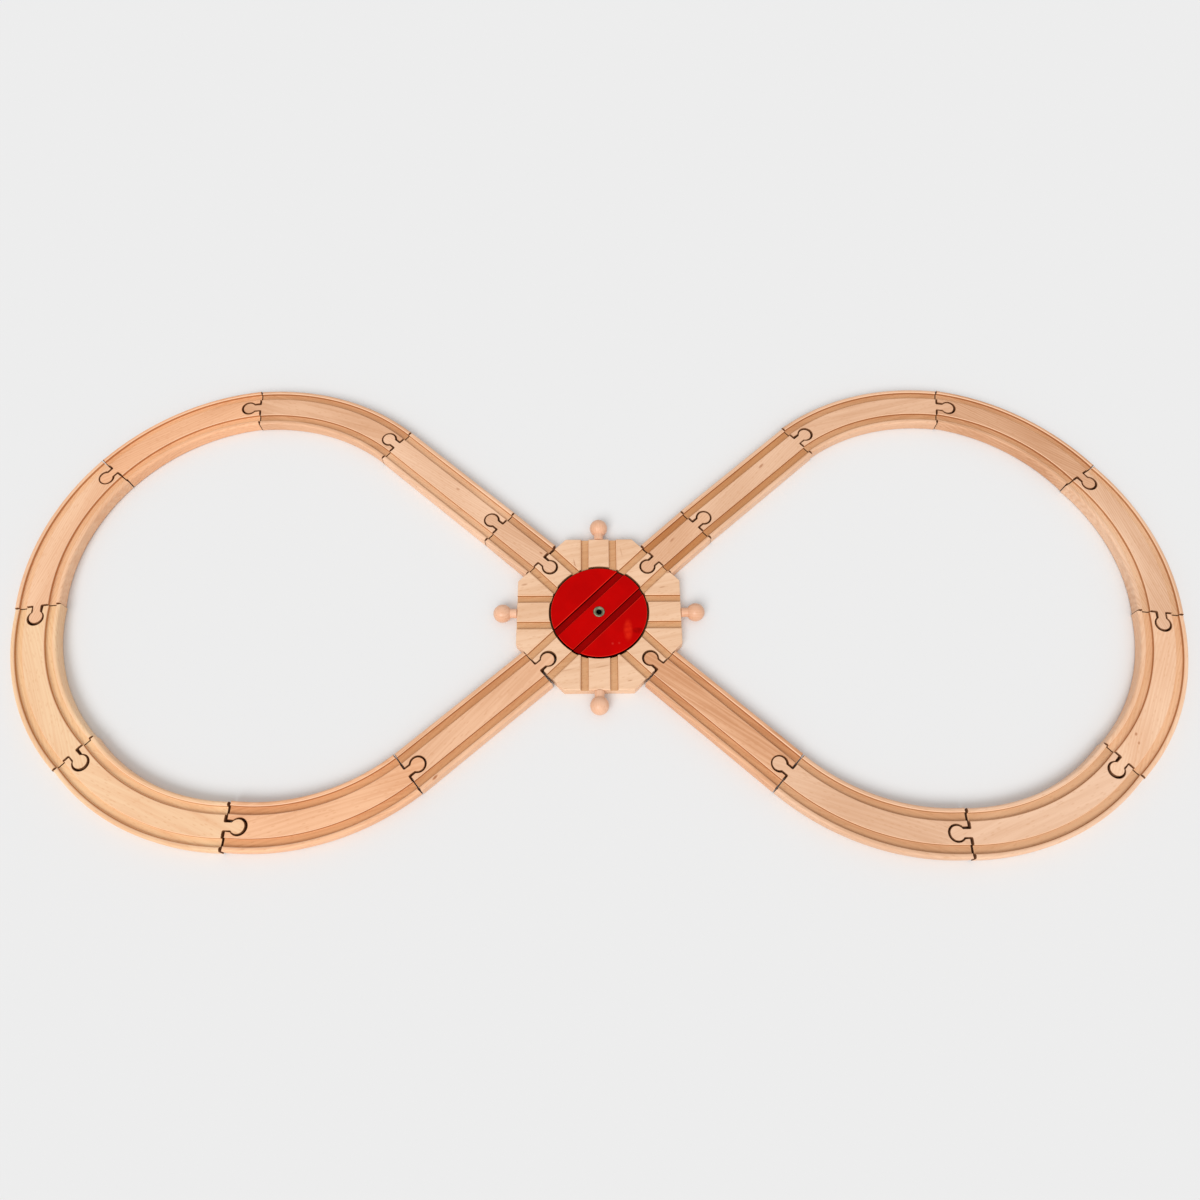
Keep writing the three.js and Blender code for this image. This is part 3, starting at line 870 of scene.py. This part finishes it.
# Paint of the disc, each pair of reds light and dark. Ripples break up a worn place between two strengths.
FACE_REDS = (colour(197, 2, 1), colour(184, 1, 1))
# Darker reds for the groove faces, as painted shade
SHADED_GROOVE_REDS = (colour(158, 1, 1), colour(142, 1, 1))
# Painted shade on upright walls and the slopes over which it comes in, and a painted highlight on the lips
PAINT_WALL_SHADE = colour(46, 0, 0)
PAINT_SHADE_SLOPES = (0.93, 0.4)
PAINT_LIP_HIGHLIGHT = colour(236, 34, 22)
CLOUD_RANGE = (0.3, 0.72)
WEAR_BREAKS = (0.35, 0.6, 0.5, 0.9)
PAINT_ROUGH = (0.3, 0.42)

# Brass of the rivet, with the radii over which it changes to the rolled lip and to the painted shade inside
# the bore
RIM_BRASS = (colour(146, 150, 122), colour(104, 110, 86))
ROLL_BRASS = colour(112, 108, 80)
BORE_SHADE_BRASS = colour(24, 21, 16)
RIM_EDGE = (4.1 * MM, 3.7 * MM)
BORE_SHADE_EDGE = (3.0 * MM, 2.4 * MM)
TARNISH_RANGE = (0.35, 0.65)
BRASS_ROUGH = (0.32, 0.5)


# Camera and light

CAMERA_LENS = 25.72
CAMERA_SENSOR = 36
CAMERA_AIM = Vector((2.58, 1.34, 0)) * MM
CAMERA_DISTANCE = 801.3 * MM
CAMERA_ELEVATION = math.radians(65.61)
CAMERA_YAW = math.radians(0.07)
CAMERA_ROLL = math.radians(-0.354)

WORLD_LEVEL = 0.6
KEY_FROM = Vector((-0.26, -0.627, 0.73))
KEY_LEVEL = 0.5
FILL_FROM = Vector((0.28, -0.67, 0.69))
FILL_LEVEL = 0.08
SOFTNESS = math.radians(34)
FLOOR_SIZE = 40
FLOOR_SHADE = 0.83
PAPER_TOOTH = (0.99, 1.01)


def place_camera():
    data = bpy.data.cameras.new("camera")
    data.lens = CAMERA_LENS
    data.sensor_width = CAMERA_SENSOR
    camera = bpy.data.objects.new("camera", data)
    bpy.context.scene.collection.objects.link(camera)
    level = math.cos(CAMERA_ELEVATION)
    ahead = Vector((math.sin(CAMERA_YAW) * level, math.cos(CAMERA_YAW) * level, -math.sin(CAMERA_ELEVATION)))
    camera.matrix_world = (
        Matrix.Translation(CAMERA_AIM - ahead * CAMERA_DISTANCE)
        @ ahead.to_track_quat("-Z", "Y").to_matrix().to_4x4()
        @ Matrix.Rotation(CAMERA_ROLL, 4, "Z")
    )
    bpy.context.scene.camera = camera


def sun(name, toward, level):
    data = bpy.data.lights.new(name, "SUN")
    data.energy = level * math.pi
    data.angle = SOFTNESS
    lamp = bpy.data.objects.new(name, data)
    lamp.rotation_mode = "QUATERNION"
    lamp.rotation_quaternion = toward.to_track_quat("Z", "Y")
    bpy.context.scene.collection.objects.link(lamp)


def light_stage():
    world = bpy.data.worlds.new("studio")
    world.use_nodes = True
    sky = world.node_tree.nodes["Background"]
    sky.inputs["Color"].default_value = (1, 1, 1, 1)
    nodes, links = world.node_tree.nodes, world.node_tree.links
    path = nodes.new("ShaderNodeLightPath")
    level = nodes.new("ShaderNodeMapRange")
    level.inputs["To Min"].default_value = WORLD_LEVEL
    level.inputs["To Max"].default_value = FLOOR_SHADE
    seen = path.outputs["Is Camera Ray"]
    for ray in ("Is Glossy Ray", "Is Transmission Ray"):
        either = nodes.new("ShaderNodeMath")
        either.operation = "MAXIMUM"
        links.new(seen, either.inputs[0])
        links.new(path.outputs[ray], either.inputs[1])
        seen = either.outputs["Value"]
    links.new(seen, level.inputs["Value"])
    links.new(level.outputs["Result"], sky.inputs["Strength"])
    bpy.context.scene.world = world
    sun("key", KEY_FROM, KEY_LEVEL)
    sun("fill", FILL_FROM, FILL_LEVEL)
    bm = bmesh.new()
    bmesh.ops.create_grid(bm, x_segments=1, y_segments=1, size=FLOOR_SIZE / 2)
    to_object("floor", bm, [paper()])


place_camera()
light_stage()
bpy.context.scene.view_settings.view_transform = "Standard"
build_boards()
build_base(pivot_point())
build_disc(pivot_point())
build_fittings(pivot_point())
